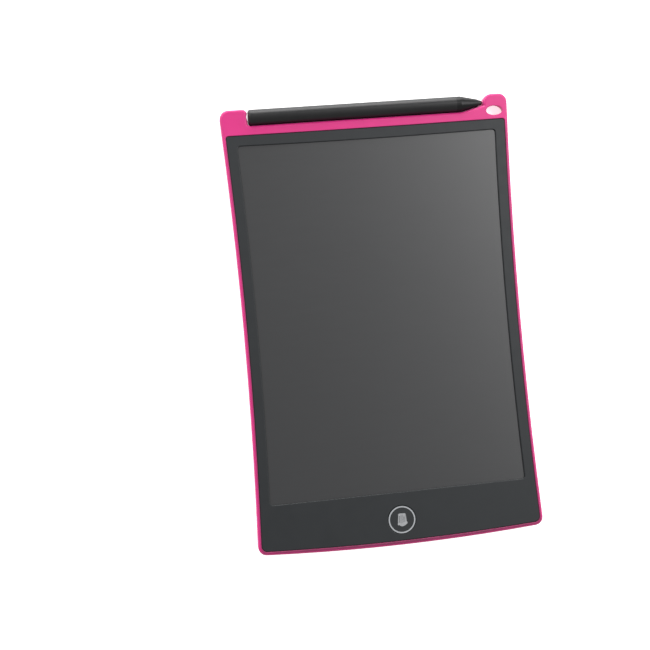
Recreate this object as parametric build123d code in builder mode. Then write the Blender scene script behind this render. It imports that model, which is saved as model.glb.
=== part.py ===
from build123d import *
import os
from math import cos, radians, sqrt

# LCD writing tablet with a one-button eraser and a stylus kept in a bay along its top edge.
# Millimetres. The tablet lies on its back: +X is to the right of the screen, +Y runs towards
# the stylus and +Z comes out of the screen. The origin is the middle of the bottom of the
# bounding box, so the plane that the tablet lies on is Z = 0.

os.makedirs("parts", exist_ok=True)

# Case outline, seen from the front
overall_length = 224.0  # bottom edge to the tops of the ears
waist_width = 141.4  # across the narrowest place
waist_draw = 2.5  # how far each side is drawn in over the waist span
waist_span = 210.0
waist_y = -3.0
bottom_bulge = 2.6
bottom_corner_radius = 4.3
case_thickness = 6.0
front_edge_radius = 1.3
back_edge_bevel = 0.9
cut_overrun = 1.0  # how far a cut runs past the face that it opens

# Stylus
stylus_diameter = 8.0
stylus_gap = 0.3  # all round the stylus in its bay
stylus_floor_gap = 0.1
stylus_top_inset = 0.15
nose_length = 14.0
nose_taper = 11.6
nose_tip_radius = 1.35
nib_length = 2.4
nib_base_radius = 1.65
nib_stem_radius = 0.7
nib_stem_length = 6.0
stylus_wall = 1.3
spigot_length = 6.0
end_cap_length = 2.2
end_cap_bevel = 0.9
end_cap_nose = 0.35  # steeper part of the bevel at the very end
slip_clearance = 0.05

# Ears, bay and lanyard hole
left_ear_width = 14.0  # from the side of the case, carried on up to its top, to the bay
right_ear_width = 12.7
ear_outer_radius = 4.3
left_ear_radius = 2.4
right_ear_radius = 4.4
wedge_start_radius = 10.0
bay_corner = 0.8  # bevel of the bay round the end cap
bay_lip = 1.0  # how far the bar reaches in under the stylus
nose_lip = 1.0  # the same beside its nose
nib_foot = 1.2  # the corner filled in under the nib
flank_groove_depth = 0.5
flank_groove_width = 3.8
bar_height = 4.45
lanyard_width = 8.4
lanyard_height = 4.7
lanyard_from_side = 7.0
lanyard_from_top = 8.65
lanyard_chamfer = 0.15
lanyard_draft = 1.2  # how much wider the hole is all round on the back
scoop_length = 8.6
scoop_height = 2.2
scoop_drop = 3.0
scoop_depth = 0.5

# Back of the case
floor_wall = 1.2
recess_depth = 0.8
recess_side = 3.5
recess_top_drop = 0.6
recess_radius = 4.0
recess_chamfer = 0.5
strip_height = 20.4
pocket_wall = 1.2

# Opening for the front bezel
rim_side = 1.6
rim_bottom = 2.15
cavity_bulge = 2.05
top_dip = 0.25
cavity_bottom_radius = 2.9
cavity_top_radius = 1.4

# Front bezel
bezel_gap = 0.12
bezel_drop = 0.2
bezel_thickness = 0.8
lip_thickness = 0.6
skirt_thickness = 1.0
skirt_foot_gap = 0.05
bezel_chamfer = 0.2
window_border = 5.25
window_top_border = 5.3
window_dip = 0.55
window_radius = 1.6
chin_height = 22.5
snap_reach = 0.3
snap_length = 6.0
snap_gap = 0.1
snap_rise = 1.6
snap_side_spacing = 66.0
snap_side_count = 3
snap_end_spacing = 60.0
snap_end_count = 2

# Display stack, from the front
display_margin = 2.65
display_radius = 1.5
adhesive_thickness = 0.1
adhesive_edge = 0.3
front_film_thickness = 0.3
crystal_thickness = 0.1
seal_width = 1.2
rear_film_thickness = 0.25
backing_thickness = 1.0
backing_margin = 0.7
film_clearance = 0.4
tab_width = 10.0
tab_length = 3.05

# Stiffening ribs on the inside of the back
rib_width = 1.0
rib_count_across = 3
rib_spacing_across = 40.0
rib_count_along = 4
rib_spacing_along = 46.0
rib_end_gap = 3.0

# Circuit board
board_length = 41.0
board_height = 16.2
board_thickness = 0.8
board_radius = 1.0
boss_height = 1.2
boss_radius = 2.2
board_screw_inset = 7.0  # from the end of the board
board_screw_drop = 5.75  # below the middle of the button
board_peg_inset = 3.0
board_peg_rise = 5.6
board_peg_radius = 1.2
board_screw_radius = 0.9
board_screw_length = 2.2
board_head_radius = 1.8
board_head_height = 0.8
head_chamfer = 0.25
screw_clearance = 0.1
cross_width = 0.45
cross_length = 2.0
cross_depth = 0.4

# Erase button and its switch
button_from_bottom = 12.75
button_radius = 7.0
button_gap = 0.15
button_skin = 0.8
button_wall = 1.0
flange_width = 0.9
flange_thickness = 0.6
flange_gap = 0.05
bead_width = 0.9
bead_height = 0.12
post_radius = 1.1  # goes down into the hole in the switch body with the plunger
post_length = 0.2
switch_width = 5.2
switch_radius = 0.6
switch_base = 0.15
switch_roof = 0.15
switch_cavity_radius = 2.1
dome_height = 0.35
dome_thickness = 0.1
dome_radius = 2.0
plunger_flange_radius = 1.6
plunger_flange_height = 0.1
plunger_radius = 1.15

# Coin cell, its contacts and its door
cell_diameter = 16.0
cell_thickness = 1.6
cell_cap_radius = 6.3
cell_step = 0.15
cell_chamfer = 0.25
cell_x = -38.5
cell_from_bottom = 12.2
cell_clearance = 0.4
cell_ring_wall = 0.8
cell_ring_height = 0.9
cell_ring_start = 15.0
cell_ring_sweep = 150.0
contact_thickness = 0.2
contact_width = 3.4
contact_rise = 0.35
contact_ramp = 1.6
contact_land = 3.2
contact_reach = 1.7
negative_contact_rise = 5.4
leaf_gap = 0.05
leaf_drop = 0.8
leaf_start = -42.0
leaf_sweep = 24.0
positive_tab_drop = 4.1
positive_tab_width = 2.0
door_width = 17.8
door_radius = 2.0
door_clearance = 0.15
door_past_cell = 2.4
door_screw_past_cell = 5.0
door_past_screw = 3.6
door_ledge_gap = 0.1
door_frame_margin = 1.4
door_rib_width = 0.8
door_rib_length = 9.0
door_rib_height = 0.35
door_rib_spacing = 4.5
door_rib_count = 3
tongue_width = 8.0
tongue_reach = 1.2
tongue_root = 1.9
tongue_gap = 0.1
tongue_thickness = 0.6
tongue_swing = 1.3
door_screw_radius = 1.0
door_screw_length = 3.2
door_head_radius = 1.9
door_head_angle = 90.0
door_pilot_clearance = 0.25
door_boss_radius = 2.3
door_boss_height = 1.4

# Flexible connector between the display and the board
flex_x = 15.0
flex_width = 8.0
flex_thickness = 0.12
flex_bend_radius = 0.5
flex_top_land = 2.6
flex_slope = 1.4
flex_board_land = 3.4

# Parts on the board, placed from the middle of the button
chip_x = -13.2
chip_rise = 2.3
chip_length = 4.9
chip_width = 3.9
chip_height = 1.1
chip_standoff = 0.1
lead_count = 4
lead_pitch = 1.27
lead_width = 0.4
lead_reach = 1.0
lead_foot = 0.6
lead_height = 0.6
lead_thickness = 0.2
inductor_x = 12.6
inductor_drop = 0.9
inductor_width = 4.0
inductor_radius = 1.2
inductor_flange = 0.35
inductor_core_radius = 1.6
inductor_core_height = 0.7
diode_x = 18.0
diode_drop = 0.3
diode_length = 2.6
diode_width = 1.6
diode_height = 0.9
small_part_length = 1.6
small_part_width = 0.8
capacitor_x = 18.3
capacitor_drop = 5.7
capacitor_pitch = 1.6
capacitor_count = 3
capacitor_height = 0.8
resistor_x = -4.5
resistor_drop = 6.9
resistor_pitch = 2.4
resistor_count = 4
resistor_height = 0.5
terminal_length = 0.35
terminal_step = 0.05

# Heights above the plane that the tablet lies on, worked out from the sizes
strip_floor = floor_wall
panel_floor = recess_depth + floor_wall
bezel_top = case_thickness - bezel_drop
bezel_under = bezel_top - bezel_thickness
lip_under = bezel_top - lip_thickness
front_film_top = lip_under - adhesive_thickness
crystal_top = front_film_top - front_film_thickness
rear_film_top = crystal_top - crystal_thickness
backing_top = rear_film_top - rear_film_thickness
rib_top = backing_top - backing_thickness
skirt_foot = panel_floor + skirt_foot_gap
snap_z = panel_floor + snap_rise
board_under = strip_floor + boss_height
board_top = board_under + board_thickness
button_skin_under = bezel_top - button_skin
flange_top = bezel_under - flange_gap
flange_under = flange_top - flange_thickness
post_foot = flange_under - post_length
dome_foot = board_top + switch_base
dome_top = dome_foot + dome_height
plunger_shoulder = dome_top + plunger_flange_height
switch_ceiling = plunger_shoulder + flange_gap
switch_top = switch_ceiling + switch_roof
cell_under = board_top - cell_thickness
cell_can_top = board_top - cell_step
door_seat = floor_wall + door_ledge_gap

# Places seen from the front, worked out from the sizes
case_top = overall_length / 2
case_bottom = -overall_length / 2
corner_y = case_bottom + bottom_bulge
side_radius = ((waist_span / 2) ** 2 + waist_draw**2) / (2 * waist_draw)
top_draw = side_radius - sqrt(side_radius**2 - (case_top - waist_y) ** 2)
case_top_half = waist_width / 2 + top_draw
stylus_radius = stylus_diameter / 2
stylus_y = case_top - stylus_top_inset - stylus_radius
stylus_z = stylus_radius + stylus_floor_gap
bay_left = left_ear_width - case_top_half
bay_right = case_top_half - right_ear_width
stylus_rear = bay_left + stylus_gap
stylus_tip = bay_right - stylus_gap
nose_seam = stylus_tip - nose_length
taper_start = stylus_tip - nose_taper
taper_slope = (stylus_radius - nose_tip_radius) / nose_taper
nib_start = stylus_tip - nib_length
nose_end_radius = nose_tip_radius + taper_slope * nib_length
bay_radius = stylus_radius + stylus_gap
nose_bay_radius = stylus_radius + stylus_gap * sqrt(1 + taper_slope**2)
bay_tip_radius = nose_bay_radius - (bay_right - taper_start) * taper_slope
bar_front = stylus_y - bay_radius
bar_back = bar_front + bay_lip
cavity_low = case_bottom + rim_bottom + cavity_bulge
cavity_high = bar_front - bar_height
recess_low = corner_y + strip_height
recess_high = cavity_high - recess_top_drop
pocket_high = recess_low - pocket_wall
window_side = rim_side + window_border
window_low = cavity_low + chin_height
window_high = cavity_high - window_top_border
display_side = window_side - display_margin
display_low = window_low - display_margin
display_high = window_high + display_margin
button_y = case_bottom + button_from_bottom
board_screw_x = board_length / 2 - board_screw_inset
board_screw_y = button_y - board_screw_drop
board_peg_x = board_length / 2 - board_peg_inset
cell_y = case_bottom + cell_from_bottom
cell_radius = cell_diameter / 2
door_left = cell_x - cell_radius - door_past_cell
door_screw_place = cell_x + cell_radius + door_screw_past_cell
door_length = door_screw_place + door_past_screw - door_left
door_middle = door_left + door_length / 2
leaf_radius = cell_radius + leaf_gap + contact_thickness / 2


def side_x(y, inset=0):
    """Half the width of the case at height y, drawn in by inset."""
    return waist_width / 2 + side_radius - sqrt(side_radius**2 - (y - waist_y) ** 2) - inset


def level_edge(y, inset, middle_y):
    """Draw one end of a waisted outline, bowed where its middle lies at another height."""
    half = side_x(y, inset)
    if middle_y == y:
        Line((-half, y), (half, y))
    else:
        ThreePointArc((-half, y), (0, middle_y), (half, y))


def waisted_face(inset, low, high, low_radius, high_radius, bulge=0, dip=0):
    """A face whose sides follow the waist of the case and whose ends are level or bowed."""
    middle = (low + high) / 2
    with BuildSketch() as outline:
        with BuildLine():
            for side in (-1, 1):
                ThreePointArc(
                    (side * side_x(low, inset), low),
                    (side * side_x(middle, inset), middle),
                    (side * side_x(high, inset), high),
                )
            level_edge(low, inset, low - bulge)
            level_edge(high, inset, high - dip)
        make_face()
        fillet(outline.vertices().group_by(Axis.Y)[0], low_radius)
        fillet(outline.vertices().group_by(Axis.Y)[-1], high_radius)
    return outline.sketch


def cavity_face(gap):
    """The opening for the bezel, drawn in by gap all round."""
    return waisted_face(
        rim_side + gap,
        cavity_low + gap,
        cavity_high - gap,
        cavity_bottom_radius - gap,
        cavity_top_radius - gap / 2,
        bulge=cavity_bulge,
        dip=top_dip,
    )


def window_face(margin):
    """The clear window of the bezel, widened by margin all round."""
    return waisted_face(
        window_side - margin,
        window_low - margin,
        window_high + margin,
        window_radius + margin,
        window_radius + margin,
        dip=window_dip,
    )


def recess_face(margin):
    """The recessed panel on the back, widened by margin all round."""
    return waisted_face(
        recess_side - margin,
        recess_low - margin,
        recess_high + margin,
        recess_radius + margin,
        recess_radius + margin,
    )


def display_face(margin):
    """The display glass, widened by margin all round."""
    return waisted_face(
        display_side - margin,
        display_low - margin,
        display_high + margin,
        display_radius,
        display_radius,
    )


def case_face(bar_lip, wedge_lip):
    """The case with its ears and the stylus bay, whose lower edge reaches in by the two lips."""
    bar_edge = bar_front + bar_lip
    wedge_drop = stylus_y - nose_bay_radius + wedge_lip
    wedge_start = taper_start + (bar_edge - wedge_drop) / taper_slope
    wedge_end = stylus_y - bay_tip_radius + wedge_lip
    with BuildSketch() as outline:
        add(
            waisted_face(
                0,
                corner_y,
                case_top,
                bottom_corner_radius,
                ear_outer_radius,
                bulge=bottom_bulge,
            )
        )
        with BuildLine():
            Polyline(
                (bay_left, case_top + cut_overrun),
                (bay_left, bar_edge + bay_corner),
                (bay_left + bay_corner, bar_edge),
                (wedge_start, bar_edge),
                (bay_right, wedge_end),
                (bay_right, case_top + cut_overrun),
                close=True,
            )
        make_face(mode=Mode.SUBTRACT)
        bay_corners = [
            (bay_left, case_top, left_ear_radius),
            (bay_right, case_top, right_ear_radius),
            (wedge_start, bar_edge, wedge_start_radius),
        ]
        for x, y, radius in bay_corners:
            fillet(outline.vertices().sort_by_distance((x, y))[0], radius)
    return outline.sketch


def cavity_edge_y(x, low):
    """Height of the bowed bottom or top end of the opening at x."""
    share = (x / side_x(cavity_low, rim_side)) ** 2
    if low:
        return cavity_low - cavity_bulge * (1 - share)
    return cavity_high - top_dip * (1 - share)


def snap_places():
    """Places of the snap beads on the wall of the opening, turned to lie along it."""
    places = []
    for row in range(snap_side_count):
        y = waist_y + (row - (snap_side_count - 1) / 2) * snap_side_spacing
        for side in (-1, 1):
            places.append(Location((side * side_x(y, rim_side), y, snap_z)))
    for column in range(snap_end_count):
        x = (column - (snap_end_count - 1) / 2) * snap_end_spacing
        for low in (True, False):
            places.append(Location((x, cavity_edge_y(x, low), snap_z), (0, 0, 90)))
    return places


def stylus_plane():
    """Plane through the axis of the stylus, with its own y pointing up."""
    return Plane(origin=(0, stylus_y, stylus_z), x_dir=(1, 0, 0), z_dir=(0, -1, 0))


def stylus_axis():
    """Axis of the stylus, pointing at the nib."""
    return Axis((0, stylus_y, stylus_z), (1, 0, 0))


def along_board(y, z):
    """Plane that faces the bottom edge of the case, at height z above the resting plane."""
    return Plane(origin=(0, y, z), x_dir=(1, 0, 0), z_dir=(0, -1, 0))


# Rear shell: one moulding with the rim, the bar under the stylus and the two ears
with BuildPart() as rear_shell:
    with BuildSketch():
        add(case_face(bay_lip, nose_lip))
        nib_floor = stylus_y - bay_tip_radius + nose_lip
        with BuildLine():
            Polyline(
                (bay_right - nib_foot, nib_floor - nib_foot * taper_slope),
                (bay_right, nib_floor + nib_foot),
                (bay_right + nib_foot, nib_floor),
                close=True,
            )
        make_face()
    extrude(amount=stylus_z)
    with BuildSketch(Plane.XY.offset(stylus_z)):
        add(case_face(0, 0))
    extrude(amount=case_thickness - stylus_z)
    fillet(rear_shell.faces().sort_by(Axis.Z)[-1].edges(), front_edge_radius)
    chamfer(rear_shell.faces().sort_by(Axis.Z)[0].edges(), back_edge_bevel)
    # The cradle that the barrel and the nose of the stylus lie in
    with BuildSketch(stylus_plane()):
        with BuildLine():
            Polyline(
                (bay_left, 0),
                (bay_left, bay_radius - bay_corner),
                (bay_left + bay_corner, bay_radius),
                (taper_start, bay_radius),
                (bay_right, bay_tip_radius),
                (bay_right, 0),
                close=True,
            )
        make_face()
    revolve(axis=stylus_axis(), mode=Mode.SUBTRACT)
    # The shallow groove in the left ear that faces the end of the stylus
    with BuildSketch():
        with BuildLine():
            ThreePointArc(
                (bay_left, stylus_y - flank_groove_width / 2),
                (bay_left - flank_groove_depth, stylus_y),
                (bay_left, stylus_y + flank_groove_width / 2),
            )
            Polyline(
                (bay_left, stylus_y + flank_groove_width / 2),
                (bay_left + cut_overrun, stylus_y),
                (bay_left, stylus_y - flank_groove_width / 2),
            )
        make_face()
    extrude(amount=case_thickness, mode=Mode.SUBTRACT)
    # The recessed panel on the back, with a bevelled brim
    with BuildSketch():
        add(recess_face(recess_chamfer))
    with BuildSketch(Plane.XY.offset(recess_chamfer)):
        add(recess_face(0))
    loft(ruled=True, mode=Mode.SUBTRACT)
    with BuildSketch():
        add(recess_face(0))
    extrude(amount=recess_depth, mode=Mode.SUBTRACT)
    # The lanyard hole through the right ear, and the scoop beside it on the back
    lanyard_y = case_top - lanyard_from_top
    lanyard_x = side_x(lanyard_y, lanyard_from_side)
    lanyard_levels = [
        (0, lanyard_draft + lanyard_chamfer),
        (lanyard_chamfer, lanyard_draft),
        (case_thickness - lanyard_chamfer, 0),
        (case_thickness, lanyard_chamfer),
    ]
    for level, margin in lanyard_levels:
        with BuildSketch(Plane.XY.offset(level)):
            with Locations((lanyard_x, lanyard_y)):
                Ellipse(lanyard_width / 2 + margin, lanyard_height / 2 + margin)
    loft(ruled=True, mode=Mode.SUBTRACT)
    with BuildSketch():
        with BuildLine():
            Polyline(
                (bay_right, bar_back),
                (bay_right, bar_back - scoop_height),
                (bay_right - scoop_length, bar_back - scoop_drop),
                close=True,
            )
        make_face()
    extrude(amount=scoop_depth, mode=Mode.SUBTRACT)
    # The opening for the bezel, and the deeper pocket behind the chin
    with BuildSketch(Plane.XY.offset(panel_floor)):
        add(cavity_face(0))
    extrude(amount=case_thickness, mode=Mode.SUBTRACT)
    with BuildSketch(Plane.XY.offset(strip_floor)):
        add(
            waisted_face(
                rim_side,
                cavity_low,
                pocket_high,
                cavity_bottom_radius,
                cavity_top_radius,
                bulge=cavity_bulge,
            )
        )
    extrude(amount=recess_depth, mode=Mode.SUBTRACT)
    # Slots for the snap beads of the bezel
    with Locations(snap_places()):
        Box(
            2 * (snap_reach + snap_gap),
            snap_length + 2 * snap_gap,
            2 * (snap_reach + snap_gap),
            mode=Mode.SUBTRACT,
        )
    # Ribs that carry the backing plate
    with BuildSketch(Plane.XY.offset(panel_floor)):
        with Locations((0, (recess_low + display_high) / 2)):
            with GridLocations(rib_spacing_across, 0, rib_count_across, 1):
                Rectangle(rib_width, display_high - recess_low - 2 * rib_end_gap)
            with GridLocations(0, rib_spacing_along, 1, rib_count_along):
                Rectangle(2 * side_x(waist_y, display_side + rib_end_gap), rib_width)
    extrude(amount=rib_top - panel_floor)
    # Battery bay: a thick frame inside, the seat of the door outside and a hole for the cell
    with BuildSketch(Plane.XY.offset(strip_floor)):
        with Locations((door_middle, cell_y)):
            RectangleRounded(
                door_length + 2 * door_frame_margin,
                door_width + 2 * door_frame_margin,
                door_radius,
            )
    extrude(amount=recess_depth)
    with BuildSketch(Plane.XY.offset(panel_floor)):
        with Locations((door_screw_place, cell_y)):
            Circle(door_boss_radius)
    extrude(amount=door_boss_height)
    with BuildSketch():
        with Locations((door_middle, cell_y)):
            RectangleRounded(
                door_length + 2 * door_clearance,
                door_width + 2 * door_clearance,
                door_radius + door_clearance,
            )
    extrude(amount=door_seat, mode=Mode.SUBTRACT)
    with BuildSketch(Plane.XY.offset(door_seat)):
        with Locations((cell_x, cell_y)):
            Circle(cell_radius + cell_clearance)
        with Locations((door_screw_place, cell_y)):
            Circle(door_screw_radius + door_pilot_clearance)
    extrude(amount=case_thickness, mode=Mode.SUBTRACT)
    tongue_slot_left = door_left - tongue_reach - door_clearance
    tongue_slot_right = door_left + tongue_root + tongue_swing
    with BuildSketch(Plane.XY.offset(strip_floor)):
        with Locations(((tongue_slot_left + tongue_slot_right) / 2, cell_y)):
            Rectangle(tongue_slot_right - tongue_slot_left, tongue_width + 2 * cell_clearance)
    extrude(amount=case_thickness, mode=Mode.SUBTRACT)
    # Wall round the upper half of the cell
    with BuildSketch(Plane.XY.offset(panel_floor)):
        with BuildLine():
            CenterArc(
                (cell_x, cell_y),
                cell_radius + cell_clearance + cell_ring_wall / 2,
                cell_ring_start,
                cell_ring_sweep,
            )
        trace(line_width=cell_ring_wall)
    extrude(amount=cell_ring_height)
    # Bosses and pegs under the circuit board
    with BuildSketch(Plane.XY.offset(strip_floor)):
        with Locations((0, board_screw_y)):
            with GridLocations(2 * board_screw_x, 0, 2, 1):
                Circle(boss_radius)
        with Locations((0, button_y + board_peg_rise)):
            with GridLocations(2 * board_peg_x, 0, 2, 1):
                Circle(board_peg_radius)
    extrude(amount=boss_height)
    with BuildSketch(Plane.XY.offset(board_under)):
        with Locations((0, board_screw_y)):
            with GridLocations(2 * board_screw_x, 0, 2, 1):
                Circle(board_screw_radius + slip_clearance)
    extrude(amount=board_thickness - board_screw_length - screw_clearance, mode=Mode.SUBTRACT)
rear_shell.part.label = "rear_shell"
export_step(rear_shell.part, "parts/rear_shell.step")

# Front bezel: the black frame and chin, with a skirt that snaps into the shell
with BuildPart() as front_bezel:
    with BuildSketch(Plane.XY.offset(bezel_under)):
        add(cavity_face(bezel_gap))
        add(window_face(0), mode=Mode.SUBTRACT)
        with Locations((0, button_y)):
            Circle(button_radius + button_gap, mode=Mode.SUBTRACT)
    extrude(amount=bezel_thickness)
    chamfer(front_bezel.faces().sort_by(Axis.Z)[-1].edges(), bezel_chamfer)
    with BuildSketch(Plane.XY.offset(bezel_under)):
        add(display_face(film_clearance))
    extrude(amount=lip_under - bezel_under, mode=Mode.SUBTRACT)
    with BuildSketch(Plane.XY.offset(skirt_foot)):
        add(cavity_face(bezel_gap))
        add(cavity_face(bezel_gap + skirt_thickness), mode=Mode.SUBTRACT)
    extrude(amount=bezel_under - skirt_foot)
    with Locations(snap_places()):
        Box(snap_reach * sqrt(2), snap_length, snap_reach * sqrt(2), rotation=(0, 45, 0))
front_bezel.part.label = "front_bezel"
export_step(front_bezel.part, "parts/front_bezel.step")

# Display stack: two films with liquid crystal sealed between them
with BuildPart() as display_front_film:
    with BuildSketch(Plane.XY.offset(crystal_top)):
        add(display_face(0))
    extrude(amount=front_film_thickness)
display_front_film.part.label = "display_front_film"
export_step(display_front_film.part, "parts/display_front_film.step")

with BuildPart() as liquid_crystal_layer:
    with BuildSketch(Plane.XY.offset(rear_film_top)):
        add(display_face(-seal_width))
    extrude(amount=crystal_thickness)
liquid_crystal_layer.part.label = "liquid_crystal_layer"
export_step(liquid_crystal_layer.part, "parts/liquid_crystal_layer.step")

with BuildPart() as display_edge_seal:
    with BuildSketch(Plane.XY.offset(rear_film_top)):
        add(display_face(0))
        add(display_face(-seal_width), mode=Mode.SUBTRACT)
    extrude(amount=crystal_thickness)
display_edge_seal.part.label = "display_edge_seal"
export_step(display_edge_seal.part, "parts/display_edge_seal.step")

with BuildPart() as display_rear_film:
    with BuildSketch(Plane.XY.offset(backing_top)):
        add(display_face(0))
        with Locations((flex_x, display_low)):
            Rectangle(tab_width, 2 * tab_length)
    extrude(amount=rear_film_thickness)
display_rear_film.part.label = "display_rear_film"
export_step(display_rear_film.part, "parts/display_rear_film.step")

with BuildPart() as backing_plate:
    with BuildSketch(Plane.XY.offset(rib_top)):
        add(display_face(backing_margin))
    extrude(amount=backing_thickness)
backing_plate.part.label = "backing_plate"
export_step(backing_plate.part, "parts/backing_plate.step")

# Double-sided tape that holds the display up under the lip of the bezel
with BuildPart() as adhesive_frame:
    with BuildSketch(Plane.XY.offset(front_film_top)):
        add(display_face(-adhesive_edge))
        add(window_face(film_clearance), mode=Mode.SUBTRACT)
    extrude(amount=adhesive_thickness)
adhesive_frame.part.label = "adhesive_frame"
export_step(adhesive_frame.part, "parts/adhesive_frame.step")

# Flexible connector: a thin bent strip from the tab of the display down to the board
flex_tab_edge = display_low - tab_length
flex_bend_y = flex_tab_edge - flex_bend_radius
flex_plane = Plane(origin=(flex_x - flex_width / 2, 0, 0), x_dir=(0, 1, 0), z_dir=(1, 0, 0))
with BuildPart() as flex_connector:
    with BuildLine(flex_plane):
        FilletPolyline(
            (flex_bend_y - flex_slope - flex_board_land, board_top),
            (flex_bend_y - flex_slope, board_top),
            (flex_bend_y, rear_film_top),
            (flex_tab_edge + flex_top_land, rear_film_top),
            radius=flex_bend_radius,
        )
    make_brake_formed(flex_thickness, flex_width, side=Side.RIGHT)
flex_connector.part.label = "flex_connector"
export_step(flex_connector.part, "parts/flex_connector.step")

# Circuit board with its two screws
with BuildPart() as circuit_board:
    with BuildSketch(Plane.XY.offset(board_under)):
        with Locations((0, button_y)):
            RectangleRounded(board_length, board_height, board_radius)
        with Locations((0, board_screw_y)):
            with GridLocations(2 * board_screw_x, 0, 2, 1):
                Circle(board_screw_radius + screw_clearance, mode=Mode.SUBTRACT)
    extrude(amount=board_thickness)
circuit_board.part.label = "circuit_board"
export_step(circuit_board.part, "parts/circuit_board.step")

with BuildPart() as board_screws:
    with BuildSketch(Plane.XY.offset(board_top)):
        with Locations((0, board_screw_y)):
            with GridLocations(2 * board_screw_x, 0, 2, 1):
                Circle(board_head_radius)
    extrude(amount=board_head_height)
    chamfer(board_screws.edges().group_by(Axis.Z)[-1], head_chamfer)
    with BuildSketch(Plane.XY.offset(board_top + board_head_height)):
        with Locations((0, board_screw_y)):
            with GridLocations(2 * board_screw_x, 0, 2, 1):
                Rectangle(cross_length, cross_width)
                Rectangle(cross_width, cross_length)
    extrude(amount=-cross_depth, mode=Mode.SUBTRACT)
    with BuildSketch(Plane.XY.offset(board_top)):
        with Locations((0, board_screw_y)):
            with GridLocations(2 * board_screw_x, 0, 2, 1):
                Circle(board_screw_radius)
    extrude(amount=-board_screw_length)
board_screws.part.label = "board_screws"
export_step(board_screws.part, "parts/board_screws.step")

# Controller chip: a moulded body with four bent leads on each side
chip_y = button_y + chip_rise
with BuildPart() as controller_chip:
    with Locations((chip_x, chip_y, board_top + chip_standoff + chip_height / 2)):
        Box(chip_width, chip_length, chip_height)
    for row in range(lead_count):
        lead_y = chip_y + (row - (lead_count - 1) / 2) * lead_pitch
        with BuildSketch(along_board(lead_y, board_top)):
            with BuildLine():
                Polyline(
                    (chip_x - chip_width / 2 - lead_reach, lead_thickness / 2),
                    (chip_x - chip_width / 2 - lead_reach + lead_foot, lead_thickness / 2),
                    (chip_x - chip_width / 2, lead_height),
                    (chip_x + chip_width / 2, lead_height),
                    (chip_x + chip_width / 2 + lead_reach - lead_foot, lead_thickness / 2),
                    (chip_x + chip_width / 2 + lead_reach, lead_thickness / 2),
                )
            trace(line_width=lead_thickness)
        extrude(amount=lead_width / 2, both=True)
controller_chip.part.label = "controller_chip"
export_step(controller_chip.part, "parts/controller_chip.step")

# Boost inductor: a drum with two square flanges
with BuildPart() as boost_inductor:
    flange_heights = (board_top, board_top + inductor_flange + inductor_core_height)
    for flange_height in flange_heights:
        with BuildSketch(Plane.XY.offset(flange_height)):
            with Locations((inductor_x, button_y - inductor_drop)):
                RectangleRounded(inductor_width, inductor_width, inductor_radius)
        extrude(amount=inductor_flange)
    with BuildSketch(Plane.XY.offset(board_top)):
        with Locations((inductor_x, button_y - inductor_drop)):
            Circle(inductor_core_radius)
    extrude(amount=inductor_flange + inductor_core_height)
boost_inductor.part.label = "boost_inductor"
export_step(boost_inductor.part, "parts/boost_inductor.step")


def add_board_part(places, length, width, height):
    """Add a body with a terminal on each end at every one of the places on the board."""
    with Locations(*places):
        body = (Align.CENTER, Align.CENTER, Align.MIN)
        Box(length, width - 2 * terminal_step, height - terminal_step, align=body)
    for side in (-1, 1):
        ends = [(x + side * (length - terminal_length) / 2, y, z) for x, y, z in places]
        with Locations(*ends):
            Box(terminal_length, width, height, align=(Align.CENTER, Align.CENTER, Align.MIN))


with BuildPart() as rectifier_diode:
    diode_place = (diode_x, button_y - diode_drop, board_top)
    add_board_part([diode_place], diode_length, diode_width, diode_height)
rectifier_diode.part.label = "rectifier_diode"
export_step(rectifier_diode.part, "parts/rectifier_diode.step")

with BuildPart() as capacitors:
    capacitor_places = []
    for row in range(capacitor_count):
        step = (row - (capacitor_count - 1) / 2) * capacitor_pitch
        capacitor_places.append((capacitor_x, button_y - capacitor_drop + step, board_top))
    add_board_part(capacitor_places, small_part_length, small_part_width, capacitor_height)
capacitors.part.label = "capacitors"
export_step(capacitors.part, "parts/capacitors.step")

with BuildPart() as resistors:
    resistor_places = []
    for column in range(resistor_count):
        step = (column - (resistor_count - 1) / 2) * resistor_pitch
        resistor_places.append((resistor_x + step, button_y - resistor_drop, board_top))
    add_board_part(resistor_places, small_part_length, small_part_width, resistor_height)
resistors.part.label = "resistors"
export_step(resistors.part, "parts/resistors.step")

# Switch under the button: a body, a snap dome and the plunger that presses on the dome
with BuildPart() as switch_body:
    with BuildSketch(Plane.XY.offset(board_top)):
        with Locations((0, button_y)):
            RectangleRounded(switch_width, switch_width, switch_radius)
    extrude(amount=switch_top - board_top)
    with BuildSketch(Plane.XY.offset(dome_foot)):
        with Locations((0, button_y)):
            Circle(switch_cavity_radius)
    extrude(amount=switch_ceiling - dome_foot, mode=Mode.SUBTRACT)
    with BuildSketch(Plane.XY.offset(switch_ceiling)):
        with Locations((0, button_y)):
            Circle(plunger_radius + slip_clearance)
    extrude(amount=switch_roof, mode=Mode.SUBTRACT)
switch_body.part.label = "switch_body"
export_step(switch_body.part, "parts/switch_body.step")

dome_sphere_radius = (dome_radius**2 + dome_height**2) / (2 * dome_height)
with BuildPart() as switch_dome:
    with Locations((0, button_y, dome_top - dome_sphere_radius)):
        Sphere(dome_sphere_radius)
        Sphere(dome_sphere_radius - dome_thickness, mode=Mode.SUBTRACT)
    split(bisect_by=Plane.XY.offset(dome_foot), keep=Keep.TOP)
switch_dome.part.label = "switch_dome"
export_step(switch_dome.part, "parts/switch_dome.step")

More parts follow.
